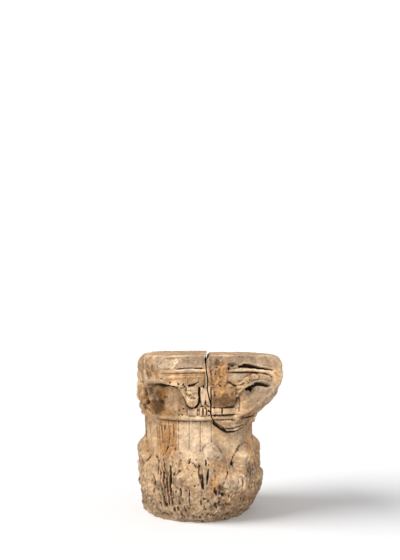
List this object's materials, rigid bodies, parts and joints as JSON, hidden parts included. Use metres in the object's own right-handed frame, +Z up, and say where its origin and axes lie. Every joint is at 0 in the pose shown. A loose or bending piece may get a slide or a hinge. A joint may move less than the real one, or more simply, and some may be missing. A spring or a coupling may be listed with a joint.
{
  "type": "composite capital",
  "caption": "Worn marble composite capital with leaves, fluted bell, eggs and hollow-sided abacus, its broken upper corner set back in place.",
  "frame": {"origin": "centre of the lower bed, on the column's axis", "axes": "+Z up along the column's axis, -Y out of the front side, +X to the right seen from the front"},
  "size_m": [0.3463, 0.3498, 0.42],
  "materials": {
    "aged_marble": "weathered, matt, with cream, orange and grey-brown patches",
    "browned_marble": "weathered, matt, pitted and browned"
  },
  "bodies": {
    "root": {"capital_block": "aged_marble", "rejoined_corner": "browned_marble"}
  },
  "joints": []
}
